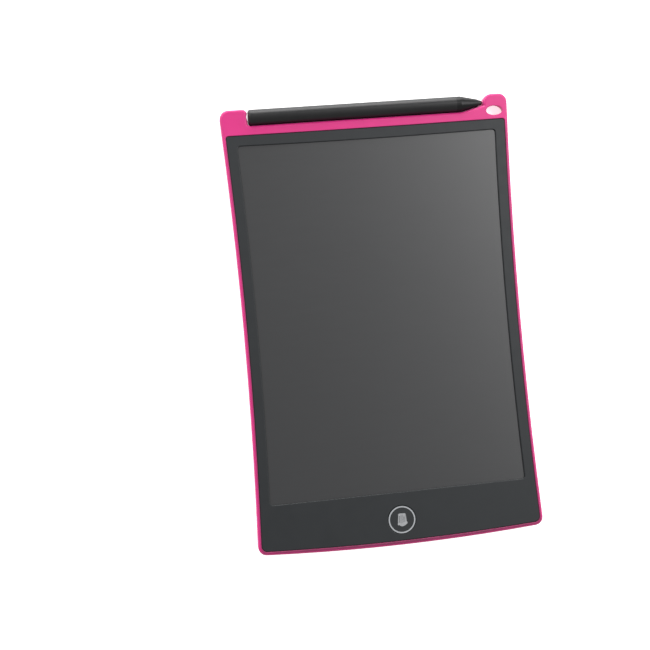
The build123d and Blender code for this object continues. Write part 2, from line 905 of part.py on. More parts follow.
with BuildPart() as switch_plunger:
    with BuildSketch(Plane.XY.offset(dome_top)):
        with Locations((0, button_y)):
            Circle(plunger_flange_radius)
    extrude(amount=plunger_flange_height)
    with BuildSketch(Plane.XY.offset(dome_top)):
        with Locations((0, button_y)):
            Circle(plunger_radius)
    extrude(amount=post_foot - dome_top)
switch_plunger.part.label = "switch_plunger"
export_step(switch_plunger.part, "parts/switch_plunger.step")

# Erase button: a hollow cap with a raised ring, a catching flange and a post
flange_radius = button_radius + flange_width
with BuildPart() as erase_button:
    with BuildSketch(along_board(button_y, 0)):
        with BuildLine():
            Polyline(
                (0, post_foot),
                (post_radius, post_foot),
                (post_radius, button_skin_under),
                (button_radius - button_wall, button_skin_under),
                (button_radius - button_wall, flange_under),
                (flange_radius, flange_under),
                (flange_radius, flange_top),
                (button_radius, flange_top),
                (button_radius, bezel_top + bead_height),
                (button_radius - bead_width, bezel_top + bead_height),
                (button_radius - bead_width, bezel_top),
                (0, bezel_top),
                close=True,
            )
        make_face()
    revolve(axis=Axis((0, button_y, 0), (0, 0, 1)))
    chamfer(erase_button.edges().group_by(Axis.Z)[-1], bead_height / 2)
erase_button.part.label = "erase_button"
export_step(erase_button.part, "parts/erase_button.step")

# Coin cell with its can facing the door
with BuildPart() as coin_cell:
    with BuildSketch(Plane.XY.offset(cell_under)):
        with Locations((cell_x, cell_y)):
            Circle(cell_radius)
    extrude(amount=cell_can_top - cell_under)
    chamfer(coin_cell.edges().group_by(Axis.Z)[0], cell_chamfer)
    with BuildSketch(Plane.XY.offset(cell_can_top)):
        with Locations((cell_x, cell_y)):
            Circle(cell_cap_radius)
    extrude(amount=cell_step)
coin_cell.part.label = "coin_cell"
export_step(coin_cell.part, "parts/coin_cell.step")

# Contacts: a stepped strip on top of the cell and a curved leaf against its side
board_edge = -board_length / 2
negative_contact_y = button_y + negative_contact_rise + contact_width / 2
with BuildPart() as negative_contact:
    with BuildLine(along_board(negative_contact_y, board_top)):
        Polyline(
            (cell_x - contact_reach, 0),
            (cell_x + contact_reach, 0),
            (cell_x + contact_reach + contact_ramp, contact_rise),
            (board_edge - 2 * contact_ramp, contact_rise),
            (board_edge - contact_ramp, 0),
            (board_edge + contact_land, 0),
        )
    make_brake_formed(contact_thickness, contact_width, side=Side.RIGHT)
negative_contact.part.label = "negative_contact"
export_step(negative_contact.part, "parts/negative_contact.step")

leaf_middle_x = cell_x + leaf_radius * cos(radians(leaf_start + leaf_sweep / 2))
with BuildPart() as positive_contact:
    with BuildSketch(Plane.XY.offset(board_top - leaf_drop)):
        with BuildLine():
            CenterArc((cell_x, cell_y), leaf_radius, leaf_start, leaf_sweep)
        trace(line_width=contact_thickness)
    extrude(amount=leaf_drop + contact_thickness)
    with BuildSketch(Plane.XY.offset(board_top)):
        with Locations(((leaf_middle_x + board_edge + contact_land) / 2, cell_y - positive_tab_drop)):
            Rectangle(board_edge + contact_land - leaf_middle_x, positive_tab_width)
    extrude(amount=contact_thickness)
positive_contact.part.label = "positive_contact"
export_step(positive_contact.part, "parts/positive_contact.step")

# Battery door with a tongue at its left end and a screw at its right end
with BuildPart() as battery_door:
    with BuildSketch():
        with Locations((door_middle, cell_y)):
            RectangleRounded(door_length, door_width, door_radius)
    extrude(amount=floor_wall)
    with BuildSketch(Plane.XY.offset(floor_wall)):
        with Locations((cell_x, cell_y)):
            with GridLocations(0, door_rib_spacing, 1, door_rib_count):
                Rectangle(door_rib_length, door_rib_width)
    extrude(amount=door_rib_height)
    with BuildSketch(along_board(cell_y, floor_wall)):
        with BuildLine():
            Polyline(
                (door_left, 0),
                (door_left + tongue_root, 0),
                (door_left + tongue_root, tongue_gap + tongue_thickness),
                (door_left - tongue_reach, tongue_gap + tongue_thickness),
                (door_left - tongue_reach, tongue_gap),
                (door_left, tongue_gap),
                close=True,
            )
        make_face()
    extrude(amount=tongue_width / 2, both=True)
    with Locations(Location((door_screw_place, cell_y, 0), (180, 0, 0))):
        CounterSinkHole(
            door_screw_radius + screw_clearance,
            door_head_radius + screw_clearance,
            counter_sink_angle=door_head_angle,
        )
battery_door.part.label = "battery_door"
export_step(battery_door.part, "parts/battery_door.step")

with BuildPart() as door_screw:
    with BuildSketch(along_board(cell_y, 0)):
        with BuildLine():
            Polyline(
                (door_screw_place, 0),
                (door_screw_place + door_head_radius, 0),
                (door_screw_place + door_screw_radius, door_head_radius - door_screw_radius),
                (door_screw_place + door_screw_radius, door_screw_length),
                (door_screw_place, door_screw_length),
                close=True,
            )
        make_face()
    revolve(axis=Axis((door_screw_place, cell_y, 0), (0, 0, 1)))
    with BuildSketch():
        with Locations((door_screw_place, cell_y)):
            Rectangle(cross_length, cross_width)
            Rectangle(cross_width, cross_length)
    extrude(amount=cross_depth, mode=Mode.SUBTRACT)
door_screw.part.label = "door_screw"
export_step(door_screw.part, "parts/door_screw.step")

# Stylus: a tube closed by an end cap, with a tapered nose and a nib pushed into it
bore_radius = stylus_radius - stylus_wall
plug_radius = bore_radius - slip_clearance
barrel_start = stylus_rear + end_cap_length
with BuildPart() as stylus_barrel:
    with BuildSketch(stylus_plane()):
        with Locations(((barrel_start + nose_seam) / 2, stylus_radius - stylus_wall / 2)):
            Rectangle(nose_seam - barrel_start, stylus_wall)
    revolve(axis=stylus_axis())
stylus_barrel.part.label = "stylus_barrel"
export_step(stylus_barrel.part, "parts/stylus_barrel.step")

with BuildPart() as stylus_end_cap:
    with BuildSketch(stylus_plane()):
        with BuildLine():
            Polyline(
                (stylus_rear, 0),
                (stylus_rear, stylus_radius - end_cap_bevel),
                (stylus_rear + end_cap_nose, stylus_radius - end_cap_nose),
                (stylus_rear + end_cap_bevel, stylus_radius),
                (barrel_start, stylus_radius),
                (barrel_start, plug_radius),
                (barrel_start + spigot_length, plug_radius),
                (barrel_start + spigot_length, 0),
                close=True,
            )
        make_face()
    revolve(axis=stylus_axis())
stylus_end_cap.part.label = "stylus_end_cap"
export_step(stylus_end_cap.part, "parts/stylus_end_cap.step")

with BuildPart() as stylus_cone:
    with BuildSketch(stylus_plane()):
        with BuildLine():
            Polyline(
                (nose_seam - spigot_length, nib_stem_radius + slip_clearance),
                (nose_seam - spigot_length, plug_radius),
                (nose_seam, plug_radius),
                (nose_seam, stylus_radius),
                (taper_start, stylus_radius),
                (nib_start, nose_end_radius),
                (nib_start, nib_stem_radius + slip_clearance),
                close=True,
            )
        make_face()
    revolve(axis=stylus_axis())
stylus_cone.part.label = "stylus_cone"
export_step(stylus_cone.part, "parts/stylus_cone.step")

nib_shoulder = stylus_tip - nose_tip_radius
with BuildPart() as stylus_nib:
    with BuildSketch(stylus_plane()):
        with BuildLine():
            CenterArc((nib_shoulder, 0), nose_tip_radius, 0, 90)
            Polyline(
                (stylus_tip, 0),
                (nib_start - nib_stem_length, 0),
                (nib_start - nib_stem_length, nib_stem_radius),
                (nib_start, nib_stem_radius),
                (nib_start, nib_base_radius),
                (nib_shoulder, nose_tip_radius),
            )
        make_face()
    revolve(axis=stylus_axis())
stylus_nib.part.label = "stylus_nib"
export_step(stylus_nib.part, "parts/stylus_nib.step")
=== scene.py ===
import bpy
from mathutils import Matrix, Vector


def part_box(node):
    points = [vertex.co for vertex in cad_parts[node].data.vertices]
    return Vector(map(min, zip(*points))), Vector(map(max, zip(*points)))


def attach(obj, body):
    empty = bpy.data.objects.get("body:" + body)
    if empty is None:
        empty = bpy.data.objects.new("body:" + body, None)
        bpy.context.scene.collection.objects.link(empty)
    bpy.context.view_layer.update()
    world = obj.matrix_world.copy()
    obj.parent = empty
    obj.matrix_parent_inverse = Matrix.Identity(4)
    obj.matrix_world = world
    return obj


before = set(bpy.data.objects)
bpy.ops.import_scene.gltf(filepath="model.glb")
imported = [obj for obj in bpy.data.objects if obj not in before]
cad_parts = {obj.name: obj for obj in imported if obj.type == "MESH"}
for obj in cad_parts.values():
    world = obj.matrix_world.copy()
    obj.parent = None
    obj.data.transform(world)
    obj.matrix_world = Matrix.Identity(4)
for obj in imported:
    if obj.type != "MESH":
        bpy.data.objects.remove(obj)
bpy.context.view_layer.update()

# LCD writing tablet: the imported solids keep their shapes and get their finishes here. Metres.

shell_low, shell_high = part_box("rear_shell")
key_low, key_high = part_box("erase_button")

# Camera, solved from the outline in the photograph: 1100 pixels of focal length at 650 wide
CAMERA_PLACE = (-0.09696, 0.00065, 0.55154)
CAMERA_LOOK = (0.12149, 0.00187, -0.99259)
CAMERA_UP = (0.08729, 0.9961, 0.01256)
CAMERA_NEAR = 0.01
SENSOR_WIDTH = 36.0
FOCAL_LENGTH = 1100 / 650 * SENSOR_WIDTH

# Floor and lights
FLOOR_HALF = 4.0
FLOOR_DROP = 0.0001  # below the case, so the two faces don't flicker
FLOOR_COLOR = (0.92, 0.92, 0.92)
FLOOR_DARKEST = 0.99
FLOOR_PATCH = 0.5
FLOOR_ROUGHNESS = 0.9
SKY_COLOR = (1.0, 1.0, 1.0)
SKY_STRENGTH = 0.48
FLOOR_GLOW = 0.68  # the floor is a faint light table, so the case has next to no shadow
LIGHTS = {
    # name: (place, point it faces, width, height, watts)
    "key_softbox": ((0.95, 0.65, 1.5), (0.0, 0.0, 0.0), 0.8, 0.8, 11.0),
    "right_softbox": ((1.2, 0.0, 1.4), (0.0, 0.0, 0.0), 0.8, 0.8, 10.0),
    "left_softbox": ((-1.1, 0.9, 1.0), (0.0, 0.0, 0.0), 0.8, 0.8, 10.0),
    "back_softbox": ((-0.1, 1.5, 0.36), (0.0, 0.1, 0.0), 2.2, 0.8, 38.0),
}

# Erase button: a ring painted on its raised bead, and a pictogram printed on its face
BUTTON_MIDDLE = (0.0, (key_low.y + key_high.y) / 2)  # on the middle line of the case
BEAD_HEIGHT = 0.00012
BUTTON_FACE = key_high.z - BEAD_HEIGHT
RING_INNER = 0.00616
RING_OUTER = 0.00682
RING_FOOT = BUTTON_FACE - 0.00005  # the paint stays above this height
PRINT_FOOT = BUTTON_FACE - 0.00001  # a little way into the face, so no gap shows under the ink
PRINT_THICKNESS = 0.00005
PRINT_EDGE = 0.000015
PRINT_EDGE_STEPS = 1
MILLIMETRES = 1000  # in a metre
BRUSH_HEAD = [
    # Outline in millimetres from the middle of the key, read off the photograph,
    # from the top left corner round to the right
    (-1.63, 2.95), (-1.3, 3.1), (-0.9, 3.16), (1.05, 3.1), (1.85, 2.97), (2.06, 2.65),
    (2.22, 1.27), (2.3, -0.96), (2.54, -1.26), (2.7, -1.72), (2.5, -2.15), (1.84, -2.66),
    (1.17, -3.04), (0.43, -3.29), (-0.09, -3.36), (-0.69, -3.19), (-1.14, -2.91), (-1.45, -2.57),
    (-1.71, -2.6), (-2.26, -2.58), (-2.3, -2.41),
]
BRISTLE_LEAN = 0.09  # sideways for each unit of height
BRISTLE_SLITS = [
    # (x, width, low end, high end) in millimetres
    (-1.64, 0.27, -1.55, 2.1),
    (-0.98, 0.14, -1.65, 2.45),
    (-0.38, 0.17, -1.7, 2.45),
    (0.2, 0.17, -1.7, 2.45),
    (0.8, 0.24, -1.3, 1.6),
    (1.4, 0.13, -1.4, 2.3),
]

# Linear colours
SHELL_PINK = (0.535, 0.0162, 0.167)
# dark pink of the shade painted on the rim
SHADE_PINK = (0.06, 0.012, 0.03)
CHARCOAL = (0.0100, 0.0120, 0.0138)
STYLUS_BLACK = (0.0083, 0.0086, 0.009)
PRINT_GREY = (0.31, 0.32, 0.335)
ICON_GREY = (0.285, 0.29, 0.3)
FILM_DARK = (0.0095, 0.0100, 0.0115)
MASK_GREEN = (0.008, 0.09, 0.03)
TRACK_GREEN = (0.02, 0.17, 0.06)
FOAM_BLACK = (0.04, 0.04, 0.04)

# Noise seldom leaves this range, and the Mix node keeps its colours in these sockets
NOISE_LOW = 0.3
NOISE_HIGH = 0.7
MIX_COLORS = (6, 7)
MIX_RESULT = 2

# Edges: how finely they are rounded, and how sharply the mask that finds them rises
BEVEL_SAMPLES = 6
EDGE_GAIN = 6.0

# Moulded plastic: its grain, flow marks, smudges and worn edges
GRAIN = 0.0002
GRAIN_DEPTH = 0.000006
EDGE_RADIUS = 0.0003
FLOW_SIZE = 0.02
FLOW_TWIST = 0.6
MOTTLE = 0.05
SMUDGE_SIZE = 0.006
SMUDGE_SMOOTHER = 0.04
SMUDGE_ROUGHER = 0.05
WEAR = 0.12
WEAR_SIZE = 0.003
WEAR_START = 0.2
WEAR_SPREAD = 4.2  # the worn share of an edge runs from WEAR_START to this times the wear
WORN_LEVEL = 0.8  # the pale grey that every colour wears towards

# Case plastic
SHELL_ROUGHNESS = 0.44
SHELL_GRAIN = 0.00022
SHELL_GRAIN_DEPTH = 0.000007
SHELL_EDGE = 0.00055
SHELL_SPECULAR = 0.45
SHELL_SCATTER = 0.04
SHELL_SCATTER_RADIUS = (0.0012, 0.0003, 0.0005)

# Painted shade: dark pink on the flat strip of the rim along the bezel, and on the edge at the bottom
SHADE_PATCH_SIZE = 0.004
SHADE_LEAST = 0.9
SHADE_MOST = 1.1
STRIP_SHADE = 0.42
STRIP_FACING = 0.98
STRIP_HEIGHT = shell_high.z - 0.0001
STRIP_END = shell_high.y - 0.014
STRIP_FADE = STRIP_END - 0.008
BOTTOM_SHADE = 0.32
BOTTOM_LOW = 0.0025
BOTTOM_HIGH = 0.005
# the painted shade on the bottom edge fades out between these two
BOTTOM_UNSHADED = shell_low.y + 0.006
BOTTOM_SHADED = shell_low.y + 0.0025

# Recessed panel of the back, which has the coarser grain
PANEL_DEPTH = 0.0008
PANEL_FLOOR = PANEL_DEPTH - 0.0002
PANEL_CEILING = PANEL_DEPTH + 0.00025
PANEL_FRONT = shell_low.y + 0.023
PANEL_BACK = shell_high.y - 0.0135
PANEL_GRAIN = 0.0005
PANEL_GRAIN_DEPTH = 0.00003

# Bezel and erase button
BEZEL_ROUGHNESS = 0.5
BEZEL_EDGE = 0.0005
BEZEL_WEAR = 0.03
BEZEL_SPECULAR = 0.42
BUTTON_ROUGHNESS = 0.42
BUTTON_EDGE = 0.00012
BUTTON_WEAR = 0.05

# Writing film
FILM_PATCH = 0.06
FILM_MOTTLE = 0.04
FILM_SMOOTHEST = 0.335
FILM_ROUGHEST = 0.35
FILM_SPECULAR = 1.0
FILM_GRAIN = 0.00012
FILM_GRAIN_DEPTH = 0.0000015
RUB_SIZE = 0.012
RUB_TURN = 0.7
RUB_STRETCH = (1.0, 12.0, 1.0)

# Ink of the pictogram
INK_DARKEST = 0.9
INK_LIGHTEST = 1.05
INK_PATCH = 0.0008
INK_SPECK = 0.0005
INK_SMOOTHEST = 0.4
INK_ROUGHEST = 0.55
INK_GRAIN = 0.00015
INK_GRAIN_DEPTH = 0.000004

# Stylus
STYLUS_DARKEST = 0.9
STYLUS_LIGHTEST = 1.15
STYLUS_EDGE = 0.0001
DUST_SIZE = 0.004
TURNING_SIZE = 0.0004
TURNING_STRETCH = (1.0, 0.08, 0.08)
TURNING_SMOOTHER = 0.03
TURNING_ROUGHER = 0.05
TURNING_DEPTH = 0.0000015
STYLUS_PLASTICS = {
    # material: (roughness, specular level, nodes)
    "stylus_body": (0.38, 0.38, ("stylus_barrel", "stylus_end_cap")),
    "stylus_cone": (0.32, 0.22, ("stylus_cone",)),
    "stylus_nib": (0.38, 0.35, ("stylus_nib",)),
}

# Circuit board
TRACK_SCALE = 420.0
TRACK_PITCH = 0.12
TRACK_START = 0.07
TRACK_DEPTH = 0.00002
BOARD_PATCH = 0.002
BOARD_SMOOTHEST = 0.28
BOARD_ROUGHEST = 0.4

# Metals
METAL_DARKEST = 0.9
METAL_LIGHTEST = 1.05
METAL_PATCH = 0.002
METAL_SPECK = 0.0002
METAL_SPECK_DEPTH = 0.000003
METAL_EDGE = 0.00008
METAL_SMOOTHER = 0.06
METAL_ROUGHER = 0.1
METALS = {
    # material: (colour, roughness, nodes)
    "zinc_steel": ((0.62, 0.62, 0.61), 0.32, ("door_screw", "board_screws")),
    "cell_steel": ((0.7, 0.7, 0.69), 0.25, ("coin_cell",)),
    "spring_steel": ((0.68, 0.65, 0.58), 0.3, ("positive_contact", "negative_contact", "switch_dome")),
}

# Plain parts inside the case
FOAM_ROUGHNESS = 0.8
FOAM_GRAIN = 0.0004
INNER_PARTS = {
    # material: (colour, roughness, nodes)
    "chip_epoxy": ((0.02, 0.02, 0.02), 0.5, ("controller_chip", "rectifier_diode")),
    "ferrite": ((0.05, 0.05, 0.052), 0.6, ("boost_inductor",)),
    "capacitor_ceramic": ((0.35, 0.24, 0.13), 0.4, ("capacitors",)),
    "resistor_ceramic": ((0.03, 0.03, 0.035), 0.3, ("resistors",)),
    "switch_nylon": ((0.03, 0.03, 0.03), 0.5, ("switch_body", "switch_plunger")),
    "flex_polyimide": ((0.38, 0.13, 0.02), 0.25, ("flex_connector",)),
    "backing_styrene": ((0.08, 0.08, 0.08), 0.5, ("backing_plate",)),
    "edge_sealant": ((0.12, 0.12, 0.1), 0.3, ("display_edge_seal",)),
    "crystal_layer": ((0.03, 0.035, 0.035), 0.2, ("liquid_crystal_layer",)),
    "rear_film": ((0.015, 0.015, 0.015), 0.3, ("display_rear_film",)),
}


def new_material(name):
    """An empty node material with a Principled shader, and object coordinates to drive it."""
    material = bpy.data.materials.new(name)
    material.use_nodes = True
    tree = material.node_tree
    shader = tree.nodes["Principled BSDF"]
    place = tree.nodes.new("ShaderNodeTexCoord").outputs["Object"]
    return material, tree, shader, place


def noise(tree, place, size, detail=2.0, distortion=0.0):
    """Smooth noise whose lumps are about size metres across."""
    node = tree.nodes.new("ShaderNodeTexNoise")
    node.inputs["Scale"].default_value = 1 / size
    node.inputs["Detail"].default_value = detail
    node.inputs["Distortion"].default_value = distortion
    tree.links.new(place, node.inputs["Vector"])
    return node.outputs["Fac"]


def stretched(tree, place, scale, turn=0.0):
    """The coordinates turned about Z and scaled along each axis."""
    node = tree.nodes.new("ShaderNodeMapping")
    node.inputs["Rotation"].default_value = (0.0, 0.0, turn)
    node.inputs["Scale"].default_value = scale
    tree.links.new(place, node.inputs["Vector"])
    return node.outputs["Vector"]


def remap(tree, value, low, high, start=NOISE_LOW, end=NOISE_HIGH):
    """Stretch a value so that start becomes low and end becomes high, and hold it between them."""
    node = tree.nodes.new("ShaderNodeMapRange")
    tree.links.new(value, node.inputs["Value"])
    for socket, number in zip(("From Min", "From Max", "To Min", "To Max"), (start, end, low, high)):
        node.inputs[socket].default_value = number
    return node.outputs["Result"]


def blend_colors(tree, share, first, second):
    """Mix two colours, each a tuple or a socket, by share."""
    node = tree.nodes.new("ShaderNodeMix")
    node.data_type = "RGBA"
    tree.links.new(share, node.inputs["Factor"])
    for index, color in zip(MIX_COLORS, (first, second)):
        if isinstance(color, tuple):
            node.inputs[index].default_value = (*color, 1.0)
        else:
            tree.links.new(color, node.inputs[index])
    return node.outputs[MIX_RESULT]


def math_node(tree, operation, first, second=0.0, clamp=False):
    """One step of arithmetic on sockets or numbers."""
    node = tree.nodes.new("ShaderNodeMath")
    node.operation = operation
    node.use_clamp = clamp
    for socket, value in zip(node.inputs, (first, second)):
        if isinstance(value, (int, float)):
            socket.default_value = value
        else:
            tree.links.new(value, socket)
    return node.outputs[0]


def product(tree, first, *others):
    """Several sockets multiplied together."""
    result = first
    for other in others:
        result = math_node(tree, "MULTIPLY", result, other)
    return result


def between(tree, value, low, high):
    """A mask that is 1 where the value lies between low and high."""
    over = math_node(tree, "GREATER_THAN", value, low)
    under = math_node(tree, "LESS_THAN", value, high)
    return product(tree, over, under)


def split_vector(tree, vector):
    """The three numbers of a vector."""
    node = tree.nodes.new("ShaderNodeSeparateXYZ")
    tree.links.new(vector, node.inputs["Vector"])
    return node.outputs["X"], node.outputs["Y"], node.outputs["Z"]


def scaled(color, factor):
    """The colour made lighter or darker."""
    return tuple(min(1.0, channel * factor) for channel in color)


def mottled(tree, shader, share, color, darkest, lightest):
    """Let the base colour wander between a darker and a lighter shade of the colour."""
    shades = blend_colors(tree, share, scaled(color, darkest), scaled(color, lightest))
    tree.links.new(shades, shader.inputs["Base Color"])


def cover(tree, shader, share, color):
    """Lay a colour over the base colour by share."""
    under = shader.inputs["Base Color"].links[0].from_socket
    tree.links.new(blend_colors(tree, share, under, color), shader.inputs["Base Color"])


def rounded_edges(tree, radius):
    """Normals rounded over the edges, and a mask that is 1 on the edges."""
    bevel = tree.nodes.new("ShaderNodeBevel")
    bevel.samples = BEVEL_SAMPLES
    bevel.inputs["Radius"].default_value = radius
    geometry = tree.nodes.new("ShaderNodeNewGeometry")
    dot = tree.nodes.new("ShaderNodeVectorMath")
    dot.operation = "DOT_PRODUCT"
    tree.links.new(bevel.outputs["Normal"], dot.inputs[0])
    tree.links.new(geometry.outputs["Normal"], dot.inputs[1])
    turned = math_node(tree, "SUBTRACT", 1.0, dot.outputs["Value"])
    return bevel.outputs["Normal"], math_node(tree, "MULTIPLY", turned, EDGE_GAIN, clamp=True)


def add_bump(tree, shader, height, distance, normal=None):
    """Raise the surface by height times distance, on top of another normal where there is one."""
    bump = tree.nodes.new("ShaderNodeBump")
    bump.inputs["Distance"].default_value = distance
    tree.links.new(height, bump.inputs["Height"])
    if normal is not None:
        tree.links.new(normal, bump.inputs["Normal"])
    tree.links.new(bump.outputs["Normal"], shader.inputs["Normal"])


def moulded(name, color, roughness, grain=GRAIN, depth=GRAIN_DEPTH, edge=EDGE_RADIUS, wear=WEAR):
    """Moulded plastic: spark-eroded grain, faint flow marks and paler handled edges."""
    material, tree, shader, place = new_material(name)
    flow = remap(tree, noise(tree, place, FLOW_SIZE, detail=3, distortion=FLOW_TWIST), 0.0, 1.0)
    mottled(tree, shader, flow, color, 1 - MOTTLE, 1 + MOTTLE)
    normal, edges = rounded_edges(tree, edge)
    patches = remap(tree, noise(tree, place, WEAR_SIZE), WEAR_START, wear * WEAR_SPREAD)
    pale = tuple(channel + (WORN_LEVEL - channel) * wear for channel in color)
    cover(tree, shader, product(tree, edges, patches), pale)
    smudges = noise(tree, place, SMUDGE_SIZE, detail=4)
    finish = remap(tree, smudges, roughness - SMUDGE_SMOOTHER, roughness + SMUDGE_ROUGHER)
    tree.links.new(finish, shader.inputs["Roughness"])
    add_bump(tree, shader, noise(tree, place, grain, detail=1), depth, normal)
    return material, tree, shader, place


def metal(name, color, roughness):
    """Plated metal: a fine speck and dull patches."""
    material, tree, shader, place = new_material(name)
    patches = remap(tree, noise(tree, place, METAL_PATCH), 0.0, 1.0)
    mottled(tree, shader, patches, color, METAL_DARKEST, METAL_LIGHTEST)
    speck = noise(tree, place, METAL_SPECK, detail=3)
    finish = remap(tree, speck, roughness - METAL_SMOOTHER, roughness + METAL_ROUGHER)
    tree.links.new(finish, shader.inputs["Roughness"])
    shader.inputs["Metallic"].default_value = 1.0
    normal, _ = rounded_edges(tree, METAL_EDGE)
    add_bump(tree, shader, speck, METAL_SPECK_DEPTH, normal)
    return material


def rim_painted_shade(tree, place):
    """How much shade is painted on the rim: the strip along the bezel, which clears towards the ears, and the
    bottom edge.
    """
    _, along, height = split_vector(tree, place)
    geometry = tree.nodes.new("ShaderNodeNewGeometry")
    _, _, facing = split_vector(tree, geometry.outputs["Normal"])
    flat = math_node(tree, "GREATER_THAN", facing, STRIP_FACING)
    high = math_node(tree, "GREATER_THAN", height, STRIP_HEIGHT)
    below = remap(tree, along, 1.0, 0.0, start=STRIP_FADE, end=STRIP_END)
    bottom = remap(tree, along, 1.0, 0.0, start=BOTTOM_SHADED, end=BOTTOM_UNSHADED)
    upper = remap(tree, height, 0.0, 1.0, start=BOTTOM_LOW, end=BOTTOM_HIGH)
    strip = math_node(tree, "MULTIPLY", product(tree, flat, high, below), STRIP_SHADE)
    edge = math_node(tree, "MULTIPLY", product(tree, bottom, upper), BOTTOM_SHADE)
    return math_node(tree, "ADD", strip, edge)


def panel_mask(tree, place):
    """A mask that is 1 on the recessed panel of the back."""
    _, along, height = split_vector(tree, place)
    level = between(tree, height, PANEL_FLOOR, PANEL_CEILING)
    return product(tree, level, between(tree, along, PANEL_FRONT, PANEL_BACK))


def shell_plastic(name):
    """Pink case plastic with painted shade along the rim, and a coarser grain on the recessed panel of the
    back.
    """
    material, tree, shader, place = moulded(
        name, SHELL_PINK, SHELL_ROUGHNESS, grain=SHELL_GRAIN, depth=SHELL_GRAIN_DEPTH, edge=SHELL_EDGE
    )
    patchy = remap(tree, noise(tree, place, SHADE_PATCH_SIZE), SHADE_LEAST, SHADE_MOST)
    # painted shade, patchy in strength, laid over the rim strip and the bottom edge
    painted_shade = math_node(tree, "MULTIPLY", rim_painted_shade(tree, place), patchy, clamp=True)
    cover(tree, shader, painted_shade, SHADE_PINK)
    coarse = product(tree, panel_mask(tree, place), noise(tree, place, PANEL_GRAIN))
    add_bump(tree, shader, coarse, PANEL_GRAIN_DEPTH, shader.inputs["Normal"].links[0].from_socket)
    shader.inputs["Specular IOR Level"].default_value = SHELL_SPECULAR
    shader.inputs["Subsurface Weight"].default_value = SHELL_SCATTER
    shader.inputs["Subsurface Radius"].default_value = SHELL_SCATTER_RADIUS
    return material


def bezel_plastic():
    """Charcoal frame plastic, duller than the case."""
    material, _, shader, _ = moulded(
        "bezel_plastic", CHARCOAL, BEZEL_ROUGHNESS, edge=BEZEL_EDGE, wear=BEZEL_WEAR
    )
    shader.inputs["Specular IOR Level"].default_value = BEZEL_SPECULAR
    return material


def film():
    """Clear writing film over the dark layer: satin, with the faintest rubbing marks."""
    material, tree, shader, place = new_material("display_film")
    cloud = remap(tree, noise(tree, place, FILM_PATCH), 0.0, 1.0)
    mottled(tree, shader, cloud, FILM_DARK, 1 - FILM_MOTTLE, 1 + FILM_MOTTLE)
    rubs = noise(tree, stretched(tree, place, RUB_STRETCH, turn=RUB_TURN), RUB_SIZE, detail=5)
    tree.links.new(remap(tree, rubs, FILM_SMOOTHEST, FILM_ROUGHEST), shader.inputs["Roughness"])
    shader.inputs["Specular IOR Level"].default_value = FILM_SPECULAR
    add_bump(tree, shader, noise(tree, place, FILM_GRAIN, detail=1), FILM_GRAIN_DEPTH)
    return material


def button_plastic():
    """The key: charcoal plastic with a pale ring painted on its raised bead."""
    material, tree, shader, place = moulded(
        "button_plastic", CHARCOAL, BUTTON_ROUGHNESS, edge=BUTTON_EDGE, wear=BUTTON_WEAR
    )
    x, y, height = split_vector(tree, place)
    across = math_node(tree, "SUBTRACT", x, BUTTON_MIDDLE[0])
    along = math_node(tree, "SUBTRACT", y, BUTTON_MIDDLE[1])
    squares = math_node(tree, "ADD", product(tree, across, across), product(tree, along, along))
    radius = math_node(tree, "SQRT", squares)
    above = math_node(tree, "GREATER_THAN", height, RING_FOOT)
    ring = product(tree, between(tree, radius, RING_INNER, RING_OUTER), above)
    cover(tree, shader, ring, PRINT_GREY)
    return material


def print_ink():
    """Pad-printed grey ink, slightly uneven."""
    material, tree, shader, place = new_material("print_ink")
    uneven = remap(tree, noise(tree, place, INK_PATCH, detail=3), 0.0, 1.0)
    mottled(tree, shader, uneven, ICON_GREY, INK_DARKEST, INK_LIGHTEST)
    finish = remap(tree, noise(tree, place, INK_SPECK), INK_SMOOTHEST, INK_ROUGHEST)
    tree.links.new(finish, shader.inputs["Roughness"])
    add_bump(tree, shader, noise(tree, place, INK_GRAIN), INK_GRAIN_DEPTH)
    return material


def stylus_plastic(name, roughness, specular):
    """Semi-gloss black plastic with fine marks round the barrel."""
    material, tree, shader, place = new_material(name)
    dust = remap(tree, noise(tree, place, DUST_SIZE, detail=4), 0.0, 1.0)
    mottled(tree, shader, dust, STYLUS_BLACK, STYLUS_DARKEST, STYLUS_LIGHTEST)
    turned = noise(tree, stretched(tree, place, TURNING_STRETCH), TURNING_SIZE, detail=3)
    finish = remap(tree, turned, roughness - TURNING_SMOOTHER, roughness + TURNING_ROUGHER)
    tree.links.new(finish, shader.inputs["Roughness"])
    shader.inputs["Specular IOR Level"].default_value = specular
    normal, _ = rounded_edges(tree, STYLUS_EDGE)
    add_bump(tree, shader, turned, TURNING_DEPTH, normal)
    return material


def circuit_laminate():
    """Green solder mask with copper tracks showing through as paler lines."""
    material, tree, shader, place = new_material("circuit_board")
    cells = tree.nodes.new("ShaderNodeTexVoronoi")
    cells.distance = "MANHATTAN"
    cells.inputs["Scale"].default_value = TRACK_SCALE
    tree.links.new(place, cells.inputs["Vector"])
    bands = math_node(tree, "PINGPONG", cells.outputs["Distance"], TRACK_PITCH)
    tracks = math_node(tree, "GREATER_THAN", bands, TRACK_START)
    tree.links.new(blend_colors(tree, tracks, MASK_GREEN, TRACK_GREEN), shader.inputs["Base Color"])
    finish = remap(tree, noise(tree, place, BOARD_PATCH), BOARD_SMOOTHEST, BOARD_ROUGHEST)
    tree.links.new(finish, shader.inputs["Roughness"])
    add_bump(tree, shader, tracks, TRACK_DEPTH)
    return material


def set_material(material, *nodes):
    """Give the CAD nodes this material."""
    for name in nodes:
        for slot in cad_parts[name].material_slots:
            slot.material = material


